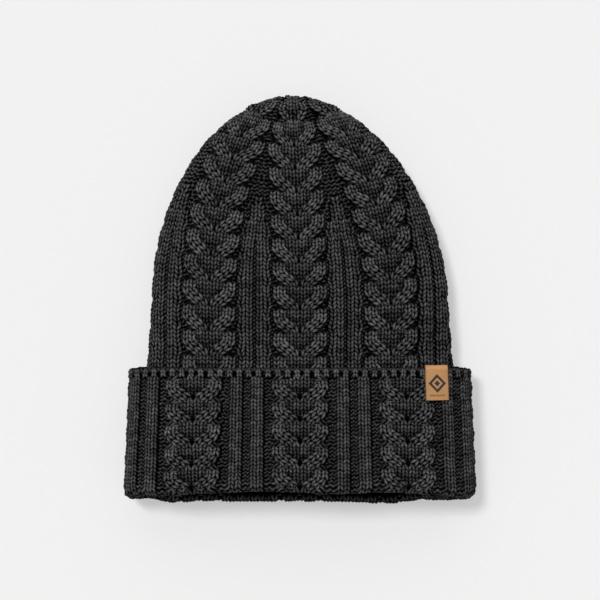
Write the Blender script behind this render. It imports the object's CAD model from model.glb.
"""A cable-knit beanie with a turned-up cuff, lying flat on its back.

The cloth is knitted: every stitch is a loop of yarn, every course is one closed strand of loops,
and the cables are columns of stitches that cross in front of and behind each other. A smooth form,
the same as the solid model's, carries the cloth.
"""

import logging
import math
from dataclasses import dataclass, field
from enum import Enum
from typing import Any, Callable, Sequence

import bmesh
import bpy
import numpy as np
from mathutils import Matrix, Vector


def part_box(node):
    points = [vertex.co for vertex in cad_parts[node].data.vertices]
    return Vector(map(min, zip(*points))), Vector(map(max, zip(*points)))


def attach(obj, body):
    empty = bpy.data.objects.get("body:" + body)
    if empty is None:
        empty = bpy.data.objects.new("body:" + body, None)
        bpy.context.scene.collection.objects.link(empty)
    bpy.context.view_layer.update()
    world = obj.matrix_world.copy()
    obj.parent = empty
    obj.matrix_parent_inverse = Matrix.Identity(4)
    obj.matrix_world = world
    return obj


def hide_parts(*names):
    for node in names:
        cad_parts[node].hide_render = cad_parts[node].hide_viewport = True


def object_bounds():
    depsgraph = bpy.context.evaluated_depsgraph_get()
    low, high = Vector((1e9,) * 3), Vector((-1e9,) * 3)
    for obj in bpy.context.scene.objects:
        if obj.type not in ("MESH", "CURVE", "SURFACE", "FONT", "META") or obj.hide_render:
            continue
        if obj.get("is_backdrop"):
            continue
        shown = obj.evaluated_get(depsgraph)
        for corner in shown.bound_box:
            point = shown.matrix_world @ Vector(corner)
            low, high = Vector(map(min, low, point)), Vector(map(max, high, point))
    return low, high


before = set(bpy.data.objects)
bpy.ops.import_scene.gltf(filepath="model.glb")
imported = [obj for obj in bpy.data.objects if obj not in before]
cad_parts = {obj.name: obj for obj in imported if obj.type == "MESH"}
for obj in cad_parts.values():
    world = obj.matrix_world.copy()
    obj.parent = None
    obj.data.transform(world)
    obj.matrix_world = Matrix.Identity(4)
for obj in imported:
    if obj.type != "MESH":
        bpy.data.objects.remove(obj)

LOG = logging.getLogger("beanie")
MM = 0.001
FULL_TURN = 2 * math.pi
SEED = 11
EDGE_COURSES = 2
TUCK = 0.95 * MM  # how far the linings lie inside the stitches' middle
BAND_LINING_ROW, BAND_LINING_ROWS = -8, 5  # where the lining passes from outside the band to inside

Array = np.ndarray


def ease(share: Array | float) -> Array:
    """Smooth step from 0 to 1, flat outside that range."""
    t = np.clip(share, 0.0, 1.0)
    return t * t * (3.0 - 2.0 * t)


def blend(a: Array | float, b: Array | float, share: Array | float) -> Array:
    """Value between a and b."""
    return a + (np.asarray(b) - a) * share


def unit(vectors: Array) -> Array:
    """Vectors of length one along the last axis.

    Args:
        vectors: any array whose last axis holds x, y and z.

    Returns:
        The same directions with length one.
    """
    length = np.linalg.norm(vectors, axis=-1, keepdims=True)
    return vectors / np.maximum(length, 1e-12)


# ---- The smooth form of the hat ----


@dataclass(frozen=True)
class HatForm:
    """The hat's smooth shape, in metres, with the sizes that the solid model has."""

    length: float
    cuff_half_width: float
    cuff_thickness: float
    mouth_step: float = 7.5 * MM
    cap_half_width: float = 85.5 * MM
    cap_flare: float = 0.07
    cap_thickness: float = 38 * MM
    cap_middle: float = 16 * MM
    cap_wall: float = 4.5 * MM
    crown_lean: float = -4.6 * MM
    lean_power: float = 1.3
    drop_length: float = 30 * MM
    cuff_depth: float = 69.4 * MM
    cuff_edge_half_width: float = 98.6 * MM
    cuff_middle: float = 19 * MM
    cuff_wall: float = 4.6 * MM
    edge_cord: float = 2.6 * MM
    layer_room: float = 2.4 * MM
    clearance: float = 0.3 * MM
    ripple: float = 0.6 * MM
    ripple_waves: tuple[tuple[float, int, float], ...] = ((1.0, 7, 1.1), (0.6, 12, 0.4))
    front_arch: float = 1.5 * MM
    side_sink: float = 1.3 * MM
    side_power: int = 10
    press: float = 0.8 * MM
    top_squareness: float = 2.3
    bottom_squareness: float = 3.4
    dome_power: float = 1.85
    dome_root: float = 0.535
    rise_power: float = 2.6
    rise_root: float = 0.5

    @property
    def crown_y(self) -> float:
        """Place of the crown."""
        return self.length / 2

    @property
    def mouth_high_y(self) -> float:
        """Place of the fold on the upper side."""
        return self.mouth_step - self.length / 2

    @property
    def cuff_edge_y(self) -> float:
        """Place of the cuff's edge."""
        return self.mouth_high_y + self.cuff_depth

    @property
    def cap_inset(self) -> float:
        """Cap's outside, measured in from the cuff's outside."""
        return self.cuff_wall + self.clearance

    @property
    def fold_radius(self) -> float:
        """Outer radius of the rolled fold at the mouth."""
        return (self.cap_inset + self.cap_wall) / 2

    def fold_y(self, angle: Array) -> Array:
        """Place of the slightly rippled fold.

        Args:
            angle: angles round the mouth.

        Returns:
            The fold's places along the hat.
        """
        waves = sum(size * np.sin(times * angle + at) for size, times, at in self.ripple_waves)
        arch = self.front_arch * np.clip(np.sin(angle), 0, 1) ** 2
        straight = -self.length / 2 + self.mouth_step * (1 + np.sin(angle)) / 2
        return straight + self.ripple * waves + arch

    def edge_y(self, angle: Array) -> Array:
        """Place of the top of the cast-on edge, which sinks a little at the hat's two sides."""
        sunk = self.side_sink * np.cos(angle) ** self.side_power
        return self.cuff_edge_y + self.clearance + self.edge_cord - sunk

    def _section(
        self,
        y: Array,
        angle: Array,
        centre_x: Array | float,
        half_width: Array,
        heights: tuple[Array | float, Array | float, Array | float],
        press: Array | float,
    ) -> Array:
        """Point of a flattened round section square to Y.

        Args:
            y: place of the section along the hat.
            angle: from +X over the top to -X and back along the underside.
            centre_x: middle of the section.
            half_width: reach to each side.
            heights: the base, the widest line and the top.
            press: how far the table presses the underside in.

        Returns:
            Points, with x, y and z on the last axis.
        """
        base, middle, top = heights
        across, up = np.cos(angle), np.sin(angle)
        power = 2 / np.where(up >= 0, self.top_squareness, self.bottom_squareness)
        x = centre_x + np.sign(across) * half_width * np.abs(across) ** power
        reach = np.abs(up) ** power
        above, below = middle + (top - middle) * reach, middle - (middle - base + press) * reach
        z = np.maximum(np.where(up >= 0, above, below), base)
        x, y, z = np.broadcast_arrays(x, y, z)
        return np.stack([x, y, z], axis=-1)

    def _cuff_width(self, y: Array) -> Array:
        """Half width of the cuff's outside at places along the hat."""
        share = np.clip((y - self.mouth_high_y) / self.cuff_depth, 0, 1)
        return blend(self.cuff_half_width, self.cuff_edge_half_width, share)

    def cuff_point(self, y: Array, depth: Array | float, angle: Array) -> Array:
        """Point of the cuff.

        Args:
            y: places along the hat.
            depth: how far it is taken in from the cuff's outside.
            angle: angles round the section.

        Returns:
            Points, with x, y and z on the last axis.
        """
        depth = np.asarray(depth, float)
        heights = (depth, self.cuff_middle, self.cuff_thickness - depth)
        return self._section(y, angle, 0.0, self._cuff_width(y) - depth, heights, self.press)

    def cap_point(self, y: Array, depth: float, angle: Array) -> Array:
        """Point of the cap, which follows the cuff's section up to the cuff's edge.

        Args:
            y: places along the hat.
            depth: how far it is taken in from the cap's outside.
            angle: angles round the section.

        Returns:
            Points, with x, y and z on the last axis.
        """
        along = np.clip(y / (self.crown_y - depth), 0, 1)
        narrowing = (1 - along**self.dome_power) ** self.dome_root
        lowering = (1 - along**self.rise_power) ** self.rise_root
        in_cuff = ease((y - self.mouth_high_y) / self.cuff_depth)
        room = self.layer_room * ease((y - self.mouth_high_y) / (self.cuff_depth / 4))
        edge_end = self.clearance + self.edge_cord
        beyond = ease((y - self.cuff_edge_y - 2 * edge_end) / self.drop_length)
        cap_width = self.cap_half_width - self.cap_flare * np.minimum(0, y)
        half_width = blend(self._cuff_width(y) - self.cap_inset, cap_width, in_cuff) - depth
        middle = blend(self.cuff_middle, self.cap_middle, in_cuff)
        top = blend(self.cuff_thickness - self.cap_inset, self.cap_thickness, in_cuff) - depth
        base = (self.cap_inset + room) * (1 - beyond) + depth
        heights = (middle - (middle - base) * lowering, middle, middle + (top - middle) * lowering)
        lean = self.crown_lean * along**self.lean_power
        return self._section(y, angle, lean, half_width * narrowing, heights, self.press * lowering)

    def cuff_angle_at(self, x: Array, depth: float = 0.0) -> Array:
        """Angle at which the cuff's edge, taken in by a depth, has a given x on the upper side."""
        return np.arccos((x / (self.cuff_edge_half_width - depth)) ** (self.top_squareness / 2))


# ---- Cloth: a tube on which places are given by row, turn and height ----


class Cloth:
    """A smooth tube of cloth. Rows count along it and a turn of 0 to 1 goes round it."""

    ROUND_STEPS = 756
    STEPS_PER_ROW = 4
    FLATTENING = 0.8
    BEND_REACH = 15 * MM
    PACKED_HEIGHT = 0.95 * MM
    NORMAL_REACH = 4  # points of the net on each side that a normal is taken over
    BEND_REACHES = (3, 5)  # the same for a bend, along the cloth and round it
    SMOOTHINGS = 6

    def __init__(
        self, paths: Array, rows: tuple[float, float], split: tuple[int, float] | None = None
    ) -> None:
        """Lays an even net of rows and turns on a set of paths.

        Args:
            paths: paths along the cloth, as path, point and x, y, z.
            rows: the first and the last row number.
            split: index of a point on every path and the row number that it has, or None.
        """
        self.first, self.last = rows
        count = int(round((self.last - self.first) * self.STEPS_PER_ROW)) + 1
        self.rows = np.linspace(self.first, self.last, count)
        self.net = self._even_round(self._even_along(paths, split))
        steps = np.roll(self.net, -1, axis=1) - self.net
        self.lengths = np.linalg.norm(steps, axis=-1).sum(axis=1)
        self.normals = self._outward()
        self.flatness = self._flatness()

    def _even_along(self, paths: Array, split: tuple[int, float] | None) -> Array:
        """Spaces points evenly along each path, or along each of the two parts of it.

        Args:
            paths: paths along the cloth, as path, point and x, y, z.
            split: the point that parts the paths and its row number, or None.

        Returns:
            A point for every row number on every path.
        """
        gaps = np.linalg.norm(np.diff(paths, axis=1), axis=-1)
        travelled = np.concatenate([np.zeros((len(paths), 1)), np.cumsum(gaps, axis=1)], axis=1)
        net = np.empty((len(self.rows), len(paths), 3))
        for index, path in enumerate(paths):
            marks = [travelled[index, 0], travelled[index, -1]]
            numbers = [self.first, self.last]
            if split is not None:
                marks.insert(1, travelled[index, split[0]])
                numbers.insert(1, split[1])
            at = np.interp(self.rows, numbers, marks)
            for axis in range(3):
                net[:, index, axis] = np.interp(at, travelled[index], path[:, axis])
        return net

    def _even_round(self, net: Array) -> Array:
        """Spaces points evenly round every row.

        Args:
            net: a point for every row number on every path.

        Returns:
            A point for every row and every step of a turn.
        """
        closed = np.concatenate([net, net[:, :1]], axis=1)
        gaps = np.linalg.norm(np.diff(closed, axis=1), axis=-1)
        even = np.empty((len(net), self.ROUND_STEPS, 3))
        for row, gap in enumerate(gaps):
            travelled = np.concatenate([[0], np.cumsum(gap)])
            at = np.linspace(0, travelled[-1], self.ROUND_STEPS, endpoint=False)
            for axis in range(3):
                even[row, :, axis] = np.interp(at, travelled, closed[row, :, axis])
        return even

    def _outward(self) -> Array:
        """Takes a smoothed outward normal at every point of the net.

        Returns:
            The normals.
        """
        reach = self.NORMAL_REACH
        around = np.roll(self.net, -reach, axis=1) - np.roll(self.net, reach, axis=1)
        along = np.gradient(self.net, axis=0)
        along = (np.roll(along, reach, axis=1) + along + np.roll(along, -reach, axis=1)) / 3
        normals = unit(np.cross(around, along))
        normals[1:-1] = unit(normals[:-2] + 2 * normals[1:-1] + normals[2:])
        return normals

    def _flatness(self) -> Array:
        """Measures how flat the cloth lies at every point of the net.

        Returns:
            One where it lies flat, down to a small share of one where it bends sharply.
        """
        bends = []
        for axis, reach in enumerate(self.BEND_REACHES):
            turned, moved = (
                np.linalg.norm(np.roll(table, -reach, axis) - np.roll(table, reach, axis), axis=-1)
                for table in (self.normals, self.net)
            )
            bend = turned / np.maximum(moved, MM)
            if axis == 0:
                bend[:reach], bend[-reach:] = bend[reach], bend[-reach - 1]
            bends.append(bend)
        flat = 1 - self.FLATTENING * ease(np.maximum(*bends) * self.BEND_REACH)
        for _ in range(self.SMOOTHINGS):
            flat = (np.roll(flat, 2, axis=1) + 2 * flat + np.roll(flat, -2, axis=1)) / 4
            flat[1:-1] = (flat[:-2] + 2 * flat[1:-1] + flat[2:]) / 4
        return flat[..., None]

    def relief(self, row: Array, turn: Array) -> Array:
        """Share of the stitches' relief that the cloth keeps at a place."""
        return self._sample(self.flatness, row, turn)[..., 0]

    def _sample(self, table: Array, row: Array, turn: Array) -> Array:
        """Reads a table that is laid on the net, between its points.

        Args:
            table: values, by row of the net and step of a turn.
            row: row numbers.
            turn: shares of a turn round the cloth.

        Returns:
            The values there.
        """
        down = np.clip((row - self.first) * self.STEPS_PER_ROW, 0, len(self.rows) - 1.001)
        round_ = np.mod(turn, 1.0) * self.ROUND_STEPS
        i, j = np.floor(down).astype(int), np.floor(round_).astype(int) % self.ROUND_STEPS
        a, b = (down - i)[..., None], (round_ - np.floor(round_))[..., None]
        k = (j + 1) % self.ROUND_STEPS
        low = table[i, j] * (1 - b) + table[i, k] * b
        high = table[i + 1, j] * (1 - b) + table[i + 1, k] * b
        return low * (1 - a) + high * a

    def place(self, row: Array, turn: Array, height: Array) -> tuple[Array, Array]:
        """Points at a height off the cloth's middle, and the outward normals there.

        Args:
            row: row numbers.
            turn: shares of a turn round the cloth.
            height: metres outwards.

        Returns:
            The points and the normals.
        """
        normal = unit(self._sample(self.normals, row, turn))
        point = self._sample(self.net, row, turn) + normal * np.asarray(height)[..., None]
        return point, normal

    def length_round(self, row: Array) -> Array:
        """Length of a row round the cloth."""
        return np.interp(row, self.rows, self.lengths)


class Tailor:
    """Cuts the two layers of cloth to the hat's form."""

    ANGLES = 720
    POINTS = 360
    FOLD_POINTS = 24
    POLE_SHIFT = 0.2
    EDGE_YARN = 0.9 * MM
    BAND_ROWS = 31
    DOME_ROWS = 78
    CUFF_ROWS = 35

    def __init__(self, form: HatForm) -> None:
        """Keeps the form."""
        self.form = form

    def _angles(self, handed: int) -> Array:
        """Angles from the middle of the top, in the sense that makes normals point outwards."""
        return FULL_TURN / 4 - handed * FULL_TURN * np.arange(self.ANGLES) / self.ANGLES

    def cap(self) -> Cloth:
        """Cuts the inner band and the dome, counted from the cuff's edge.

        Returns:
            Their cloth. The band's rows are below zero.
        """
        form = self.form
        angle = self._angles(1)[:, None]
        start = form.fold_y(angle) + form.fold_radius
        edge = form.cuff_edge_y
        share = np.linspace(0, 1, self.POINTS)[None, :]
        band = blend(start, edge, share)
        left = 1 - share[:, 1:]
        across, up = left * np.cos(angle), left * np.sin(angle) - self.POLE_SHIFT * (1 - left) ** 2
        height = np.cos(np.hypot(across, up) * math.pi / 2)
        dome = blend(edge, form.crown_y - form.cap_wall / 2, height)
        y = np.concatenate([band, dome], axis=1)
        band_angles = np.broadcast_to(angle, band.shape)
        angles = np.concatenate([band_angles, np.arctan2(up, across)], axis=1)
        paths = form.cap_point(y, form.cap_wall / 2, angles)
        return Cloth(paths, (-self.BAND_ROWS, self.DOME_ROWS), (self.POINTS - 1, 0.0))

    def cuff(self) -> Cloth:
        """Cuts the turn-up, counted from its edge down to the fold and round it to the band.

        Returns:
            Its cloth.
        """
        form = self.form
        angle = self._angles(-1)[:, None]
        middle = form.cuff_wall / 2
        roll = form.fold_radius - middle
        fold = form.fold_y(angle) + form.fold_radius
        edge = form.edge_y(angle) - self.EDGE_YARN
        straight = blend(edge, fold, np.linspace(0, 1, self.POINTS)[None, :])
        turn = np.linspace(0, math.pi, self.FOLD_POINTS)[None, 1:]
        y = np.concatenate([straight, fold - roll * np.sin(turn)], axis=1)
        outside, rolled = np.full((1, self.POINTS), middle), form.fold_radius - roll * np.cos(turn)
        depth = np.concatenate([outside, rolled], axis=1)
        return Cloth(form.cuff_point(y, depth, angle), (0.0, float(self.CUFF_ROWS)))


# ---- The stitch chart ----


class Face(Enum):
    """Which side of a stitch shows on the outside."""

    KNIT = 1
    PURL = -1


@dataclass(frozen=True)
class Gauge:
    """Widths of the columns and heights of the relief, in metres."""

    cable_half: float
    knit: float
    purl: float
    row: float
    rib_rise: float = 0.9 * MM
    gutter_drop: float = 1.05 * MM
    rib_round: float = 0.8 * MM
    cable_rise: float = 0.7 * MM
    cable_round: float = 1.15 * MM
    cross_front: float = 1.8 * MM
    cross_back: float = 1.35 * MM
    cross_rows: float = 3.7
    lean: float = 0.93
    relief: float = 1.0


@dataclass(frozen=True)
class Column:
    """One column of stitches in one repeat, seen over one course.

    Its place takes rows and shares across the column, and gives metres from the repeat's start and
    rows. Its height takes the same, and gives metres off the cloth's middle.
    """

    face: Face
    place: Callable[[Array, Array], tuple[Array, Array]]
    height: Callable[[Array, Array], Array]


@dataclass(frozen=True)
class Chart:
    """The repeat: one horseshoe cable of four two-stitch strands, then a ribbed panel.

    A cable's two halves mirror each other. In each half two strands cross every six rows: the one
    in front goes from the middle outwards, the other goes behind it from the outside to the middle.
    A move is the row at which it starts, counted from the crossing, and the rows that it takes.
    """

    EARLY = 0.5  # rows by which the front strand sets off before its crossing
    INWARDS = (-1.2, 2.2)
    FRONT_RISES, FRONT_SINKS = (-0.5, 1.8), (2.6, 2.9)
    BACK_SINKS, BACK_RISES = (-1.1, 1.6), (1.6, 3.0)
    REST_HEIGHT, END_HEIGHT = 0.1 * MM, 0.5 * MM
    SLOPE_STEP = 0.15  # rows on each side that a strand's slope is taken over
    STEEPEST = 1.15
    EDGE_REACH = (1.45, 0.55)  # strand widths from the middle to the panel, and more at a crossing
    PULLED_COLUMNS = 3  # columns of the panel that a crossing pulls along
    PULL_FADE = 1.5
    PLAITED_HALF, DOUBLE_HALF = 10.5 * MM, 4.2 * MM  # half widths that have room for more columns
    SPLIT_RUN = 4  # knit columns in a row that make two ribs

    gauge: Gauge
    crossing: float
    sense: int
    repeat_width: Callable[[Array], Array]
    rows_between: int = 6
    repeats: int = 7
    least_panel: float = 1.6 * MM
    panels: tuple[tuple[float, str], ...] = (
        (27.0 * MM, "ppkkppkkpp"),
        (18.0 * MM, "pkkpkkp"),
        (16.0 * MM, "pkkkkp"),
        (14.0 * MM, "ppkkpp"),
        (12.5 * MM, "ppkpp"),
        (9.0 * MM, "pppp"),
        (6.0 * MM, "ppp"),
        (3.2 * MM, "pp"),
        (0.0, "p"),
    )

    def half_cable(self, row: Array) -> Array:
        """Half the cable's width."""
        return np.minimum(self.gauge.cable_half, (self.repeat_width(row) - self.least_panel) / 2)

    def strand(self, row: Array, strand: int) -> tuple[Array, Array]:
        """Where a strand of a half cable is.

        Args:
            row: row numbers.
            strand: 0 or 1.

        Returns:
            Its place, 0 at the cable's middle and 1 outside, and its height.
        """
        beat = self.sense * (np.asarray(row, float) - self.crossing)
        turn = np.floor((beat + self.EARLY) / self.rows_between)
        into = beat - turn * self.rows_between

        def done(move: tuple[float, float]) -> Array:
            """Share of a move that is done."""
            return ease((into - move[0]) / move[1])

        rest, end = self.REST_HEIGHT, self.END_HEIGHT
        front, back = self.gauge.cross_front, -self.gauge.cross_back
        rising, sinking = done(self.FRONT_RISES), done(self.FRONT_SINKS)
        front_height = rest + (front - rest) * rising - (front - end) * sinking
        sinking, rising = done(self.BACK_SINKS), done(self.BACK_RISES)
        back_height = end + (back - end) * sinking + (rest - back) * rising
        outwards, inwards = done((-self.EARLY, self.gauge.cross_rows)), 1 - done(self.INWARDS)
        in_front = np.mod(turn + strand, 2) == 0
        return np.where(in_front, outwards, inwards), np.where(in_front, front_height, back_height)

    def _strand_place(self, row: Array, strand: int, share: Array) -> tuple[Array, Array]:
        """Place across a strand whose courses stay square to the way that it runs.

        Args:
            row: row numbers along the strand's middle.
            strand: 0 or 1.
            share: share of the strand's width, 0 at its inner edge.

        Returns:
            Metres outwards from the cable's middle, and rows.
        """
        step = self.SLOPE_STEP
        width = self.half_cable(row) / 2
        ahead, behind = self.strand(row + step, strand)[0], self.strand(row - step, strand)[0]
        slope = np.arctan(width * (ahead - behind) / (2 * step * self.gauge.row))
        turn = self.gauge.lean * np.clip(slope, -self.STEEPEST, self.STEEPEST)
        off = (share - 0.5) * width
        middle = width * (self.strand(row, strand)[0] + 0.5)
        return middle + off * np.cos(turn), row - off * np.sin(turn) / self.gauge.row

    def _cable_edge(self, row: Array) -> Array:
        """Finds where the ribbed panel starts beside the cable.

        Args:
            row: row numbers.

        Returns:
            Metres from the cable's middle.
        """
        reach = np.maximum(self.strand(row, 0)[0], self.strand(row, 1)[0])
        return self.half_cable(row) / 2 * (self.EDGE_REACH[0] + self.EDGE_REACH[1] * reach)

    def _strand_column(self, side: int, strand: int, part: int, parts: int) -> Column:
        """Makes a stitch column of one strand.

        Args:
            side: the left (-1) or the right (1) half of the cable.
            strand: 0 or 1.
            part: the column's number in the strand, counted outwards.
            parts: columns in the strand.

        Returns:
            The column.
        """
        gauge = self.gauge

        def share_at(across: Array) -> Array:
            """Share of the strand's width at a share of the column's."""
            return (part + (across if side > 0 else 1 - across)) / parts

        def place(row: Array, across: Array) -> tuple[Array, Array]:
            """Metres from the repeat's start, and rows."""
            x, rows = self._strand_place(row, strand, share_at(across))
            return side * x, rows

        def height(row: Array, across: Array) -> Array:
            """Metres off the cloth's middle, less towards the strand's edges."""
            reach, rise = self.strand(row, strand)
            off = 2 * share_at(across) - 1
            rounding = gauge.cable_round * off**2 * np.where(off > 0, 1.0, reach)
            return gauge.relief * (gauge.cable_rise + rise - rounding)

        return Column(Face.KNIT, place, height)

    def _panel_column(self, panel: str, index: int) -> Column:
        """Makes a stitch column of the ribbed panel between two cables.

        Args:
            panel: the panel's columns, k for knit and p for purl.
            index: the column's number in it.

        Returns:
            The column.
        """
        gauge = self.gauge
        widths = np.array([gauge.knit if mark == "k" else gauge.purl for mark in panel])
        shares = np.concatenate([[0], np.cumsum(widths) / widths.sum()])
        run_start = index
        while run_start > 0 and panel[run_start - 1] == panel[index]:
            run_start -= 1
        run = len(panel[run_start:]) - len(panel[run_start:].lstrip(panel[index]))
        run = run // 2 if panel[index] == "k" and run == self.SPLIT_RUN else run
        place_in_run = (index - run_start) % run

        def boundary(row: Array, at: int) -> Array:
            """Metres from the repeat's start to the boundary before a column."""
            half, repeat = self.half_cable(row), self.repeat_width(row)
            inner, outer = half, repeat - half
            pulled_in, pulled_out = self._cable_edge(row), repeat - self._cable_edge(row)
            plain = inner + (outer - inner) * shares[at]
            reach = 1 / max(1, min(self.PULLED_COLUMNS, len(panel) // 2))
            near = np.clip(1 - at * reach * self.PULL_FADE, 0, 1)
            far = np.clip(1 - (len(panel) - at) * reach * self.PULL_FADE, 0, 1)
            return plain + (pulled_in - inner) * near + (pulled_out - outer) * far

        def place(row: Array, across: Array) -> tuple[Array, Array]:
            """Metres from the repeat's start, and rows."""
            left, right = boundary(row, index), boundary(row, index + 1)
            return left + (right - left) * across, row

        def height(row: Array, across: Array) -> Array:
            """Metres off the cloth's middle, rounded over a rib."""
            if panel[index] == "p":
                return np.full_like(across, -gauge.gutter_drop * gauge.relief)
            share = (place_in_run + across) / run
            return gauge.relief * (gauge.rib_rise - gauge.rib_round * (2 * share - 1) ** 2)

        return Column(Face.KNIT if panel[index] == "k" else Face.PURL, place, height)

    def columns(self, course: int) -> list[Column]:
        """Makes the stitches of one repeat, in the order in which the yarn visits them.

        Args:
            course: the row that the course starts at.

        Returns:
            The columns.
        """
        row = np.array([course + 0.5])
        half = float(self.half_cable(row)[0])
        parts = 2 if half > self.PLAITED_HALF else 1
        strands = (0, 1) if half > self.DOUBLE_HALF else (0,)
        order = sorted(strands, key=lambda strand: float(self.strand(row, strand)[0][0]))
        left = [
            self._strand_column(-1, strand, part, parts)
            for strand in reversed(order)
            for part in reversed(range(parts))
        ]
        right = [
            self._strand_column(1, strand, part, parts) for strand in order for part in range(parts)
        ]
        room = float(self.repeat_width(row)[0]) - 2 * half
        panel = next(marks for least, marks in self.panels if room >= least or least == 0.0)
        return left + right + [self._panel_column(panel, index) for index in range(len(panel))]


@dataclass(frozen=True)
class RibChart:
    """Single rib, one knit and one purl in turn, for the cast-on edge."""

    gauge: Gauge
    repeat_width: Callable[[Array], Array]
    repeats: int = 7
    pairs: int = 11

    def columns(self, course: int) -> list[Column]:
        """Makes the stitches of one repeat, which are the same in every course.

        Args:
            course: the row that the course starts at.

        Returns:
            The columns.
        """
        gauge = self.gauge
        widths = [gauge.knit, gauge.purl] * self.pairs
        shares = np.concatenate([[0], np.cumsum(widths) / sum(widths)])
        made = []
        for index in range(len(widths)):
            knit = index % 2 == 0

            def place(row: Array, across: Array, at: int = index) -> tuple[Array, Array]:
                """Metres from the repeat's start, and rows."""
                return self.repeat_width(row) * blend(shares[at], shares[at + 1], across), row

            def height(row: Array, across: Array, up: bool = knit) -> Array:
                """Metres off the cloth's middle."""
                rounded = gauge.rib_rise - gauge.rib_round * (2 * across - 1) ** 2
                return rounded if up else np.full_like(across, -gauge.gutter_drop)

            made.append(Column(Face.KNIT if knit else Face.PURL, place, height))
        return made


# ---- Yarn ----


@dataclass(frozen=True)
class Loop:
    """Shape of one stitch."""

    overhang: float = 0.23  # how far its arms lean over its neighbours, as a share of its width
    lift: float = 0.76  # rows that it reaches up and down from its own
    purl_lift: float = 0.68
    depth: float = 0.66 * MM
    swell: float = 0.2  # how much thicker the yarn looks on a stitch's face
    steps: int = 12


@dataclass(frozen=True)
class Yarn:
    """A strand of yarn: half its width and thickness, the sides of its mesh and its room below."""

    half_width: float = 0.78 * MM
    half_thickness: float = 0.7 * MM
    sides: int = 5
    floor: float = 0.1 * MM


@dataclass
class Strand:
    """A run of yarn: its middle line, the directions away from the cloth and whether it closes.

    The rise says how far each point stands out of the cloth, from -1 in its depth to 1 on its
    crests. The swell says how many times its usual width the yarn has there.
    """

    points: Array
    outward: Array
    closed: bool = True
    rise: Array | None = None
    swell: Array | None = None


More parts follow.
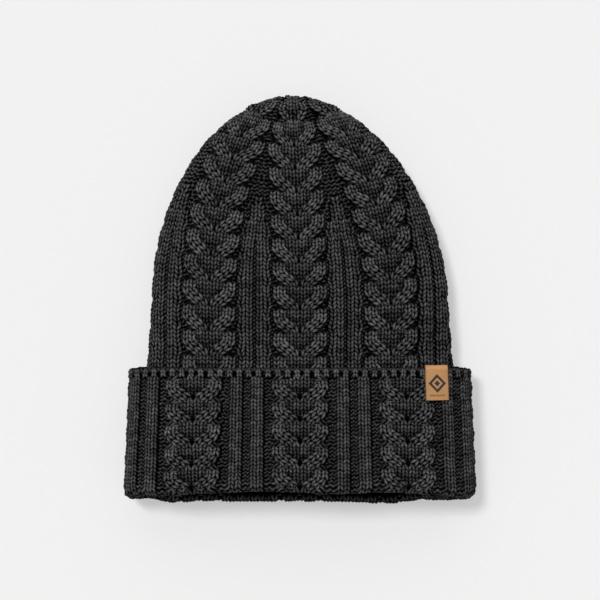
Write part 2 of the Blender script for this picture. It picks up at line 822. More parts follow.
class MeshMaker:
    """Turns strands of yarn into meshes with an unwrapped map and a map along the yarn."""

    BAKE_MAP = "OFBake"
    YARN_MAP = "yarn"
    RISE = "rise"
    RING_SHARE = 0.45
    LOOSE_RISE = 0.6
    ALONG_PATCH = (0.002, 0.996)  # where a patch starts in its place on the map, and its length
    ACROSS_PATCH = (0.08, 0.84)

    def __init__(self, yarn: Yarn) -> None:
        """Keeps the yarn."""
        self.yarn = yarn

    def _ring_points(self, strand: Strand) -> tuple[Array, Array]:
        """Lays rings of points round a strand, and keeps it above the floor.

        Args:
            strand: the run of yarn.

        Returns:
            The rings, and the length travelled at each of them.
        """
        yarn, points = self.yarn, strand.points.copy()
        points[:, 2] = np.maximum(points[:, 2], yarn.half_thickness + yarn.floor)
        ahead, behind = np.roll(points, -1, axis=0), np.roll(points, 1, axis=0)
        if not strand.closed:
            ahead[-1], behind[0] = points[-1], points[0]
        tangent = unit(ahead - behind)
        aside = unit(np.cross(tangent, strand.outward))
        outward = np.cross(aside, tangent)
        turns = FULL_TURN * np.arange(yarn.sides) / yarn.sides
        width = yarn.half_width * (np.ones(len(points)) if strand.swell is None else strand.swell)
        rings = (
            points[:, None]
            + np.cos(turns)[None, :, None] * outward[:, None] * yarn.half_thickness
            + np.sin(turns)[None, :, None] * aside[:, None] * width[:, None, None]
        )
        gaps = np.linalg.norm(np.diff(points, axis=0), axis=1)
        return rings, np.concatenate([[0], np.cumsum(gaps)])

    def build(self, name: str, strands: Sequence[Strand], patch: int) -> bpy.types.Object:
        """Makes one object from many strands.

        Args:
            name: the piece's name.
            strands: the runs of yarn.
            patch: rings in one patch of the unwrapped map.

        Returns:
            The object, at the origin.
        """
        sides = self.yarn.sides
        patches = sum(math.ceil(len(strand.points) / patch) for strand in strands)
        along_start, along_length = self.ALONG_PATCH
        across_start, across_length = self.ACROSS_PATCH
        positions, quads, bake, along_map, ends, rises = [], [], [], [], [], []
        ring_rise = np.cos(FULL_TURN * np.arange(sides) / sides)
        start, band = 0, 0
        for strand in strands:
            rings, travelled = self._ring_points(strand)
            count = len(rings)
            positions.append(rings.reshape(-1, 3))
            rise = np.full(count, self.LOOSE_RISE) if strand.rise is None else strand.rise
            rise = rise[:, None] * (1 - self.RING_SHARE) + ring_rise * self.RING_SHARE
            rises.append(rise.ravel())
            spans = count if strand.closed else count - 1
            i = np.repeat(np.arange(spans), sides)
            k = np.tile(np.arange(sides), spans)
            j, m = (i + 1) % count, (k + 1) % sides
            corners = [i * sides + k, i * sides + m, j * sides + m, j * sides + k]
            quads.append(np.stack(corners, axis=1) + start)
            step = np.stack([i % patch, i % patch, i % patch + 1, i % patch + 1], axis=1) / patch
            around = np.stack([k, k + 1, k + 1, k], axis=1) / sides
            row = (band + i // patch)[:, None]
            up = (row + across_start + across_length * around) / patches
            bake.append(np.stack([along_start + along_length * step, up], axis=-1))
            gap = float(np.linalg.norm(strand.points[0] - strand.points[-1]))
            reached = np.append(travelled, travelled[-1] + gap)
            lengths = np.stack([reached[i], reached[i], reached[i + 1], reached[i + 1]], axis=1)
            along_map.append(np.stack([lengths / MM, around], axis=-1))
            if not strand.closed:
                ends.append((start, start + (count - 1) * sides))
            start += count * sides
            band += math.ceil(spans / patch)
        mesh = self._mesh(name, np.concatenate(positions), np.concatenate(quads))
        attribute = mesh.attributes.new(self.RISE, "FLOAT", "POINT")
        attribute.data.foreach_set("value", np.concatenate(rises).astype(np.float32))
        self._map(mesh, self.BAKE_MAP, np.concatenate(bake))
        self._map(mesh, self.YARN_MAP, np.concatenate(along_map))
        self._close_ends(mesh, ends)
        piece = bpy.data.objects.new(name, mesh)
        bpy.context.scene.collection.objects.link(piece)
        return piece

    def _mesh(self, name: str, positions: Array, quads: Array) -> bpy.types.Mesh:
        """Makes a smooth-shaded mesh of quads.

        Args:
            name: the mesh's name.
            positions: its points.
            quads: the four corners of every face.

        Returns:
            The mesh.
        """
        mesh = bpy.data.meshes.new(name)
        mesh.vertices.add(len(positions))
        mesh.vertices.foreach_set("co", positions.astype(np.float32).ravel())
        mesh.loops.add(quads.size)
        mesh.loops.foreach_set("vertex_index", quads.astype(np.int32).ravel())
        mesh.polygons.add(len(quads))
        mesh.polygons.foreach_set("loop_start", np.arange(0, quads.size, 4, dtype=np.int32))
        mesh.update(calc_edges=True)
        mesh.shade_smooth()
        return mesh

    @staticmethod
    def _map(mesh: bpy.types.Mesh, name: str, places: Array) -> None:
        """Adds a map with a place for every corner of every face."""
        layer = mesh.uv_layers.new(name=name)
        layer.data.foreach_set("uv", places.astype(np.float32).ravel())

    def _close_ends(self, mesh: bpy.types.Mesh, ends: list[tuple[int, int]]) -> None:
        """Puts a face on both ends of each open strand.

        Args:
            mesh: the mesh of all the strands.
            ends: the first point of the first and of the last ring of each open strand.
        """
        if not ends:
            return
        sides = self.yarn.sides
        shape = bmesh.new()
        shape.from_mesh(mesh)
        shape.verts.ensure_lookup_table()
        for first, last in ends:
            shape.faces.new([shape.verts[first + k] for k in reversed(range(sides))])
            shape.faces.new([shape.verts[last + k] for k in range(sides)])
        bmesh.ops.recalc_face_normals(shape, faces=shape.faces)
        shape.to_mesh(mesh)
        shape.free()


class Knitter:
    """Knits courses of stitches on a cloth."""

    STITCH_JITTER = 0.1 * MM
    ROW_JITTER = 0.05
    RISE_JITTER = 0.07
    FULL_RISE = 1.3 * MM
    LEAST_RISE = -0.2
    BASE_SHARE = 0.28

    def __init__(self, cloth: Cloth, chart: Chart | RibChart, loop: Loop, seed: int) -> None:
        """Keeps the cloth and the chart.

        Args:
            cloth: what the stitches lie on.
            chart: the stitches of each course.
            loop: the stitch's shape.
            seed: start of the random unevenness.
        """
        self.cloth, self.chart, self.loop = cloth, chart, loop
        self.random = np.random.default_rng(seed)

    def course(self, number: int) -> Strand:
        """Knits one closed course.

        Args:
            number: the row that it starts at.

        Returns:
            Its yarn.
        """
        loop, chart = self.loop, self.chart
        phase = FULL_TURN * np.arange(loop.steps) / loop.steps
        reach = {Face.KNIT: loop.lift, Face.PURL: loop.purl_lift}
        row = {face: number + 0.5 - lift * np.cos(phase) for face, lift in reach.items()}
        across = phase / FULL_TURN + loop.overhang * np.sin(2 * phase)
        inside = np.clip(across, 0, 1)
        columns = chart.columns(number)
        places = [column.place(row[column.face], across) for column in columns]
        rows = np.array([rows for _, rows in places])
        width = chart.repeat_width(rows)
        turns = np.array([x for x, _ in places]) / width
        base = np.array([column.height(row[column.face], inside) for column in columns])
        leans = np.array([column.face.value * -np.cos(2 * phase) for column in columns])
        uneven = self.random.normal(size=(4, chart.repeats, len(columns), 1))
        turn = np.arange(chart.repeats)[:, None, None] + turns[None]
        turn = (turn + uneven[0] * self.STITCH_JITTER / width.mean()) / chart.repeats
        rows = rows[None] + uneven[1] * self.ROW_JITTER
        relief = self.cloth.relief(rows, turn)
        packed = blend(self.cloth.PACKED_HEIGHT, base[None], relief)
        height = packed + leans[None] * loop.depth + uneven[2] * self.STITCH_JITTER
        stands_out = np.clip(packed / self.FULL_RISE, self.LEAST_RISE, 1)
        rise = blend(leans[None], stands_out, self.BASE_SHARE) + uneven[3] * self.RISE_JITTER
        swell = np.broadcast_to(1 + loop.swell * leans[None], turn.shape)
        points, normals = self.cloth.place(rows.ravel(), turn.ravel(), height.ravel())
        return Strand(points, normals, True, rise.ravel(), swell.ravel())


# ---- Finishes ----


class Value:
    """A node's output, on which arithmetic adds Math nodes."""

    def __init__(self, graph: "Graph", socket: bpy.types.NodeSocket) -> None:
        """Wraps a socket of a graph."""
        self.graph, self.socket = graph, socket

    def _math(self, operation: str, first: Any, second: Any = 0.0) -> "Value":
        """A Math node on two values."""
        node = self.graph.node("ShaderNodeMath", {"operation": operation}, {0: first, 1: second})
        return Value(self.graph, node.outputs[0])

    def __add__(self, other: Any) -> "Value":
        """Sum."""
        return self._math("ADD", self, other)

    __radd__ = __add__

    def __mul__(self, other: Any) -> "Value":
        """Product."""
        return self._math("MULTIPLY", self, other)

    __rmul__ = __mul__

    def __sub__(self, other: Any) -> "Value":
        """Difference."""
        return self._math("SUBTRACT", self, other)

    def __rsub__(self, other: Any) -> "Value":
        """Difference from a number."""
        return self._math("SUBTRACT", other, self)

    def __pow__(self, other: Any) -> "Value":
        """Power."""
        return self._math("POWER", self, other)

    def __abs__(self) -> "Value":
        """Absolute value."""
        return self._math("ABSOLUTE", self)

    def wave(self) -> "Value":
        """Sine of this many turns."""
        return self._math("SINE", self * FULL_TURN)

    def clamped(self) -> "Value":
        """Kept between 0 and 1."""
        made = self._math("ADD", self)
        made.socket.node.use_clamp = True
        return made


class Graph:
    """Nodes of one material."""

    def __init__(self, name: str) -> None:
        """Starts a material with an empty tree and its shader.

        Args:
            name: the material's name.
        """
        self.material = bpy.data.materials.new(name)
        self.material.use_nodes = True
        self.tree = self.material.node_tree
        self.tree.nodes.clear()
        self.shader = self.node("ShaderNodeBsdfPrincipled")
        self.node("ShaderNodeOutputMaterial", {}, {"Surface": self.shader.outputs[0]})

    def node(
        self,
        kind: str,
        settings: dict[str, Any] | None = None,
        inputs: dict[Any, Any] | None = None,
    ) -> bpy.types.Node:
        """Adds a node.

        Args:
            kind: the node's type.
            settings: properties, set first.
            inputs: values or links of its sockets, by name or number.

        Returns:
            The node.
        """
        node = self.tree.nodes.new(kind)
        for key, value in (settings or {}).items():
            setattr(node, key, value)
        for key, value in (inputs or {}).items():
            self.feed(node.inputs[key], value)
        return node

    def feed(self, socket: bpy.types.NodeSocket, value: Any) -> None:
        """Sets a socket, or links a value or another socket to it.

        Args:
            socket: the input.
            value: a number, colour, vector, output or value.
        """
        if isinstance(value, Value):
            self.tree.links.new(value.socket, socket)
        elif isinstance(value, bpy.types.NodeSocket):
            self.tree.links.new(value, socket)
        else:
            socket.default_value = value

    def shade(self, **inputs: Any) -> bpy.types.Material:
        """Feeds the shader's sockets.

        Args:
            **inputs: values or links, by the socket's name with underscores for spaces.

        Returns:
            The material.
        """
        for key, value in inputs.items():
            self.feed(self.shader.inputs[key.replace("_", " ")], value)
        return self.material

    def noise(self, scale: float, detail: float = 2.0) -> Value:
        """Noise on object coordinates."""
        place = self.node("ShaderNodeTexCoord").outputs["Object"]
        inputs = {"Vector": place, "Scale": scale, "Detail": detail}
        return Value(self, self.node("ShaderNodeTexNoise", {}, inputs).outputs[0])

    def attribute(self, name: str) -> Value:
        """A named attribute of the mesh."""
        made = self.node("ShaderNodeAttribute", {"attribute_name": name})
        return Value(self, made.outputs["Fac"])

    def map_axes(self, name: str) -> tuple[Value, Value]:
        """The two axes of a named map."""
        made = self.node("ShaderNodeUVMap", {"uv_map": name})
        split = self.node("ShaderNodeSeparateXYZ", {}, {0: made.outputs[0]})
        return Value(self, split.outputs[0]), Value(self, split.outputs[1])

    def mixed(self, share: Value, dark: Sequence[float], light: Sequence[float]) -> Value:
        """Colour between two, by a share."""
        made = self.node("ShaderNodeMix", {"data_type": "RGBA"}, {"Factor": share})
        made.inputs[6].default_value, made.inputs[7].default_value = (*dark, 1), (*light, 1)
        return Value(self, made.outputs[2])

    def bump(self, height: Value, distance: float) -> Value:
        """Bumped normal."""
        inputs = {"Height": height, "Distance": distance, "Strength": 1.0}
        return Value(self, self.node("ShaderNodeBump", {}, inputs).outputs[0])


@dataclass(frozen=True)
class PliedWool:
    """Matt yarn of several plies, charcoal with a light grey bloom on the raised plies."""

    name: str
    dark: tuple[float, float, float] = (0.0008, 0.0008, 0.0009)
    light: tuple[float, float, float] = (0.175, 0.175, 0.177)
    plies: int = 2
    lay: float = 2.6  # millimetres of yarn for one turn of its plies
    relief: float = 0.14 * MM
    shade_from: float = 0.38
    shade_power: float = 2.2
    gloss: float = 0.03
    roughness: float = 0.8
    fibre_scale: float = 2600
    mottle_scale: float = 520
    patch_scale: float = 45

    def make(self) -> bpy.types.Material:
        """Builds the material."""
        graph = Graph(self.name)
        along, around = graph.map_axes(MeshMaker.YARN_MAP)
        ply = abs((along * (1 / self.lay) + around * (self.plies / 2)).wave())
        fibre = graph.noise(self.fibre_scale, 3)
        patch, mottle = graph.noise(self.patch_scale), graph.noise(self.mottle_scale)
        rise = graph.attribute(MeshMaker.RISE)
        crest = ((rise - self.shade_from) * (1 / (1 - self.shade_from))).clamped()
        bloom = ply * 0.25 + fibre * 0.5 + mottle * 0.5 + patch * 0.2
        return graph.shade(
            Base_Color=graph.mixed(crest**self.shade_power * bloom, self.dark, self.light),
            Roughness=fibre * 0.15 + self.roughness,
            Normal=graph.bump(ply + fibre * 0.5, self.relief),
            Specular_IOR_Level=self.gloss,
        )


@dataclass(frozen=True)
class ShadowCloth:
    """The dim inside of the yarn that shows between the stitches."""

    name: str
    colour: tuple[float, float, float] = (0.0008, 0.0008, 0.0009)
    spread: float = 1.6
    fibre_scale: float = 1800
    relief: float = 0.2 * MM

    def make(self) -> bpy.types.Material:
        """Builds the material."""
        graph = Graph(self.name)
        fibre = graph.noise(self.fibre_scale)
        lighter = tuple(part * self.spread for part in self.colour)
        return graph.shade(
            Base_Color=graph.mixed(fibre, self.colour, lighter),
            Roughness=0.95,
            Normal=graph.bump(fibre, self.relief),
            Specular_IOR_Level=0.0,
        )


@dataclass(frozen=True)
class TanLeather:
    """Smooth tan leather, darker and worn along its cut edges."""

    name: str
    deep: tuple[float, float, float] = (0.35, 0.17, 0.059)
    fair: tuple[float, float, float] = (0.475, 0.247, 0.093)
    edge_power: float = 14  # the higher, the narrower the worn edge
    grain_scale: float = 1500
    cloud_scale: float = 160
    roughness: float = 0.5
    relief: float = 0.06 * MM

    def make(self) -> bpy.types.Material:
        """Builds the material."""
        graph = Graph(self.name)
        across, up = graph.map_axes(LeatherTab.TAB_MAP)
        edge = abs(across * 2 - 1) ** self.edge_power
        grain, cloud = graph.noise(self.grain_scale, 4), graph.noise(self.cloud_scale, 3)
        share = cloud * 0.7 + grain * 0.5 - edge * 0.75 + up * 0.04
        return graph.shade(
            Base_Color=graph.mixed(share, self.deep, self.fair),
            Roughness=grain * 0.25 + self.roughness,
            Normal=graph.bump(grain + cloud * 0.3, self.relief),
            Specular_IOR_Level=0.4,
        )


@dataclass(frozen=True)
class DarkPrint:
    """Dark print pressed into the leather, with its grain showing through."""

    name: str
    colour: tuple[float, float, float] = (0.014, 0.015, 0.018)
    spread: float = 1.8
    grain_scale: float = 1500
    roughness: float = 0.55
    relief: float = 0.04 * MM

    def make(self) -> bpy.types.Material:
        """Builds the material."""
        graph = Graph(self.name)
        grain = graph.noise(self.grain_scale, 4)
        lighter = tuple(part * self.spread for part in self.colour)
        return graph.shade(
            Base_Color=graph.mixed(grain**3, self.colour, lighter),
            Roughness=grain * 0.2 + self.roughness,
            Normal=graph.bump(grain, self.relief),
        )


@dataclass(frozen=True)
class Satin:
    """Woven satin ribbon or sewing thread, with fine threads across it."""

    name: str
    colour: tuple[float, float, float]
    threads: float = 2600.0
    shade: float = 0.72
    roughness: float = 0.35
    sheen: float = 0.3
    relief: float = 0.05 * MM

    def make(self) -> bpy.types.Material:
        """Builds the material."""
        graph = Graph(self.name)
        place = graph.node("ShaderNodeTexCoord").outputs["Object"]
        split = graph.node("ShaderNodeSeparateXYZ", {}, {0: place})
        weave = abs((Value(graph, split.outputs[0]) * self.threads).wave())
        weave = weave * abs((Value(graph, split.outputs[1]) * self.threads).wave())
        darker = tuple(part * self.shade for part in self.colour)
        return graph.shade(
            Base_Color=graph.mixed(weave, darker, self.colour),
            Roughness=weave * 0.2 + self.roughness,
            Normal=graph.bump(weave, self.relief),
            Sheen_Weight=self.sheen,
        )


@dataclass(frozen=True)
class Paper:
    """Seamless pale studio floor."""

    name: str
    colour: tuple[float, float, float] = (0.413, 0.413, 0.413)
    glow: float = 0.413
    spread: float = 1.01
    tooth_scale: float = 900

    def make(self) -> bpy.types.Material:
        """Builds the material."""
        graph = Graph(self.name)
        tooth = graph.noise(self.tooth_scale)
        lighter = tuple(part * self.spread for part in self.colour)
        return graph.shade(
            Base_Color=graph.mixed(tooth, self.colour, lighter),
            Roughness=0.95,
            Specular_IOR_Level=0.0,
            Emission_Color=(1, 1, 1, 1),
            Emission_Strength=self.glow,
        )


# ---- Pieces ----


class Slot(Enum):
    """Material slots of the record."""

    KNIT = "charcoal_knit"
    YARN = "charcoal_yarn"
    LEATHER = "tan_leather"
    PRINT = "dark_print"
    THREAD = "tan_thread"
    RIBBON = "satin_ribbon"


def dress(
    piece: bpy.types.Object, material: bpy.types.Material, replaces: Sequence[str]
) -> bpy.types.Object:
    """Gives a piece its material, body, slot and the solids that it stands for.

    Args:
        piece: the object.
        material: its finish.
        replaces: names of the solids.

    Returns:
        The piece.
    """
    piece.data.materials.clear()
    piece.data.materials.append(material)
    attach(piece, "root")
    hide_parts(*replaces)
    LOG.info("%s: %d faces", piece.name, len(piece.data.polygons))
    return piece


@dataclass
class KnittedLayer:
    """A layer of knitted cloth, in pieces of a few courses."""

    name: str
    solid: str
    cloth: Cloth
    chart: Chart | RibChart
    wool: bpy.types.Material
    courses: range
    loop: Loop = field(default_factory=Loop)
    yarn: Yarn = field(default_factory=Yarn)
    courses_per_piece: int = 11
    stitches_per_patch: int = 14

    def knit(self, seed: int) -> list[bpy.types.Object]:
        """Knits the layer.

        Args:
            seed: start of its unevenness.

        Returns:
            The pieces.
        """
        knitter = Knitter(self.cloth, self.chart, self.loop, seed)
        maker = MeshMaker(self.yarn)
        patch = self.stitches_per_patch * self.loop.steps
        made = []
        for start in range(0, len(self.courses), self.courses_per_piece):
            courses = self.courses[start : start + self.courses_per_piece]
            strands = [knitter.course(course) for course in courses]
            name = f"{self.name}_courses_{len(made) + 1:02d}"
            piece = maker.build(name, strands, patch)
            made.append(dress(piece, self.wool, [self.solid]))
        return made


@dataclass
class Lining:
    """A thin dim skin inside the cloth, along its relief, which stops light between stitches."""

    name: str
    solid: str
    cloth: Cloth
    chart: Chart
    rows: tuple[float, float]
    drop: Callable[[Array], Array]
    closed_end: bool
    thickness: float = 0.25 * MM
    steps_per_repeat: int = 60

    SAMPLES = (0.08, 0.92, 5)  # shares across a column where its height is read: first, last, count

    def _relief(self, rows: Array) -> Array:
        """Reads the height of the columns in front, over one repeat.

        Args:
            rows: row numbers.

        Returns:
            Heights, by row and step of the repeat.
        """
        steps, gauge = self.steps_per_repeat, self.chart.gauge
        relief = np.full((len(rows), steps), -gauge.gutter_drop * gauge.relief)
        across = np.linspace(*self.SAMPLES)
        for index, row in enumerate(rows):
            width = float(self.chart.repeat_width(np.array([row]))[0])
            level = np.full_like(across, row)
            for column in self.chart.columns(int(math.floor(row))):
                x, _ = column.place(level, across)
                heights = column.height(level, across)
                spots = np.mod(np.round(x / width * steps).astype(int), steps)
                for spot, height in zip(spots, heights):
                    relief[index, spot] = max(relief[index, spot], height)
        return (np.roll(relief, 1, axis=1) + 2 * relief + np.roll(relief, -1, axis=1)) / 4

    def make(self, material: bpy.types.Material) -> bpy.types.Object:
        """Builds the skin as a tube, thickened by a modifier.

        Args:
            material: its finish.

        Returns:
            The piece.
        """
        first, last = self.rows
        count = int(math.ceil(last - first)) + 1
        steps = self.steps_per_repeat * self.chart.repeats
        rows = np.linspace(first, last, count)
        row, turn = np.meshgrid(rows, np.arange(steps) / steps, indexing="ij")
        relief = np.tile(self._relief(rows), (1, self.chart.repeats))
        relief = blend(self.cloth.PACKED_HEIGHT, relief, self.cloth.relief(row, turn))
        points, _ = self.cloth.place(row, turn, relief + self.drop(row))
        points[..., 2] = np.maximum(points[..., 2], self.thickness * 2)
        vertices = [tuple(point) for point in points.reshape(-1, 3)]
        faces: list[tuple[int, ...]] = []
        for i in range(0, (count - 1) * steps, steps):
            for j in range(steps):
                k = (j + 1) % steps
                faces.append((i + j, i + k, i + steps + k, i + steps + j))
        if self.closed_end:
            vertices.append(tuple(points[-1].mean(axis=0)))
            end, pole = (count - 1) * steps, len(vertices) - 1
            faces += [(end + j, end + (j + 1) % steps, pole) for j in range(steps)]
        mesh = bpy.data.meshes.new(self.name)
        mesh.from_pydata(vertices, [], faces)
        mesh.shade_smooth()
        piece = bpy.data.objects.new(self.name, mesh)
        bpy.context.scene.collection.objects.link(piece)
        apply_modifier(piece, "SOLIDIFY", thickness=self.thickness, offset=-1.0)
        return dress(piece, material, [self.solid])


def select_only(piece: bpy.types.Object) -> None:
    """Makes a piece the only selected object, and the active one."""
    bpy.ops.object.select_all(action="DESELECT")
    piece.select_set(True)
    bpy.context.view_layer.objects.active = piece


def apply_modifier(piece: bpy.types.Object, kind: str, **settings: Any) -> None:
    """Adds a modifier and applies it.

    Args:
        piece: the object.
        kind: the modifier's type.
        **settings: its properties.
    """
    select_only(piece)
    modifier = piece.modifiers.new(kind.title(), kind)
    for key, value in settings.items():
        setattr(modifier, key, value)
    bpy.ops.object.modifier_apply(modifier=modifier.name)


@dataclass
class LooseYarn:
    """Yarn that closes and joins the hat: the crown's gather, the seams and the woven-in ends."""

    form: HatForm
    wool: bpy.types.Material
    yarn: Yarn = field(default_factory=lambda: Yarn(0.55 * MM, 0.5 * MM, 6))
    braid_pitch: float = 5.2 * MM
    braid_half_width: float = 1.25 * MM
    steps_per_pitch: int = 12
    seam_inset: float = 1 * MM
    ring_steps: int = 72
    ring_winds: int = 9
    ring_ply: float = 0.4 * MM
    tail_steps: int = 60
    tail_wind: float = 22.0  # radians that its plies turn over its length
    tail_ply: float = 0.35 * MM

    PLIES = (0, math.pi)
    PATCH = 160

    def _strand(self, points: Array, closed: bool = False) -> Strand:
        """A strand whose outward side is up."""
        return Strand(points, np.tile([0.0, 0.0, 1.0], (len(points), 1)), closed)

    def _make(self, name: str, strands: list[Strand], solid: str) -> bpy.types.Object:
        """Builds and dresses a piece of loose yarn."""
        piece = MeshMaker(self.yarn).build(name, strands, self.PATCH)
        return dress(piece, self.wool, [solid])

    def _braid(self, line: Array, half_height: float) -> list[Strand]:
        """Plaits three strands along a line, as linked seam stitches look.

        Args:
            line: the braid's middle.
            half_height: how far the strands rise and sink.

        Returns:
            The strands.
        """
        gaps = np.linalg.norm(np.diff(line, axis=0), axis=1)
        travelled = np.concatenate([[0], np.cumsum(gaps)])
        count = int(travelled[-1] / self.braid_pitch * self.steps_per_pitch)
        at = np.linspace(0, travelled[-1], count)
        middle = np.stack([np.interp(at, travelled, line[:, axis]) for axis in range(3)], axis=1)
        strands = []
        for number in range(3):
            phase = FULL_TURN * (at / self.braid_pitch + number / 3)
            across, up = self.braid_half_width * np.sin(phase), half_height * np.sin(2 * phase)
            strands.append(self._strand(middle + np.stack([across, 0 * phase, up], axis=1)))
        return strands

    def back_seam(self) -> bpy.types.Object:
        """Makes the linked seam up the inside of the back.

        Returns:
            The piece.
        """
        steps, rise, half_height = 120, 1.1 * MM, 0.3 * MM
        low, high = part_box("back_seam")
        y = np.linspace(low.y + self.seam_inset, high.y - self.seam_inset, steps)
        line = self.form.cap_point(y, self.form.cap_wall, np.full_like(y, -FULL_TURN / 4))
        line[:, 2] += rise
        return self._make("back_seam_linking", self._braid(line, half_height), "back_seam")

    def cuff_seam(self) -> bpy.types.Object:
        """Makes the same seam in the turn-up.

        Returns:
            The piece.
        """
        steps, half_height = 40, 0.25 * MM
        low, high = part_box("cuff_seam")
        y = np.linspace(low.y + self.seam_inset, high.y - self.seam_inset, steps)
        line = np.stack([0 * y, y, np.full_like(y, (low.z + high.z) / 2)], axis=1)
        return self._make("cuff_seam_linking", self._braid(line, half_height), "cuff_seam")

    def drawstring(self) -> bpy.types.Object:
        """Makes the ring of yarn through the last stitches of the crown.

        Returns:
            The piece.
        """
        low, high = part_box("crown_drawstring")
        middle, radius = (low + high) / 2, (high.x - low.x) / 2 - self.yarn.half_width * 1.6
        turn = FULL_TURN * np.arange(self.ring_steps) / self.ring_steps
        strands = []
        for ply in self.PLIES:
            wind = self.ring_winds * turn + ply
            reach = radius + self.ring_ply * np.cos(wind)
            x, z = middle.x + reach * np.cos(turn), middle.z + reach * np.sin(turn)
            points = np.stack([x, middle.y + self.ring_ply * np.sin(wind), z], axis=1)
            strands.append(Strand(points, np.tile([0.0, 1.0, 0.0], (len(points), 1))))
        return self._make("crown_drawstring_yarn", strands, "crown_drawstring")

    def tail(self, solid: str, name: str) -> bpy.types.Object:
        """Makes a woven-in end of two plies, from corner to corner of its solid's box.

        Args:
            solid: the solid's name.
            name: the piece's name.

        Returns:
            The piece.
        """
        low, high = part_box(solid)
        share = np.linspace(0, 1, self.tail_steps)
        inset = self.yarn.half_width * 1.7
        x = blend(low.x + inset, high.x - inset, share)
        y = blend(high.y - inset, low.y + inset, share)
        z = blend(high.z - inset, low.z + inset, share)
        line = np.stack([x, y, z], axis=1)
        strands = []
        for ply in self.PLIES:
            wind = share * self.tail_wind + ply
            sway = self.tail_ply * np.stack([np.cos(wind), 0 * wind, np.sin(wind)], axis=1)
            strands.append(self._strand(line + sway))
        return self._make(name, strands, solid)

    def make(self) -> None:
        """Makes every piece of loose yarn."""
        self.back_seam()
        self.cuff_seam()
        self.drawstring()
        self.tail("crown_yarn_tail", "crown_tail_yarn")
        self.tail("cast_on_yarn_tail", "cast_on_tail_yarn")


@dataclass
class CastOnCord:
    """The cast-on strands that wrap along the very edge of the cuff."""

    cloth: Cloth
    wool: bpy.types.Material
    yarn: Yarn = field(default_factory=lambda: Yarn(0.95 * MM, 0.85 * MM, 6))
    wraps: int = 154
    steps_per_wrap: int = 8
    row: float = 0.05
    sway: float = 0.4
    bulge: float = 1.1 * MM
    bead: float = 0.28

    PATCH = 200

    def make(self) -> bpy.types.Object:
        """Winds two strands round each other along the edge.

        Returns:
            The piece.
        """
        strands = []
        steps = self.wraps * self.steps_per_wrap
        turn = np.arange(steps) / steps
        lay = FULL_TURN * turn * self.wraps / 2
        swell = 1 + self.bead * np.cos(lay - FULL_TURN / 4)
        for ply in LooseYarn.PLIES:
            row = self.row + self.sway * np.cos(lay + ply)
            points, normals = self.cloth.place(row, turn, self.bulge * np.sin(lay + ply))
            strands.append(Strand(points, normals, swell=swell))
        piece = MeshMaker(self.yarn).build("cast_on_cord", strands, self.PATCH)
        return dress(piece, self.wool, ["cast_on_edge"])


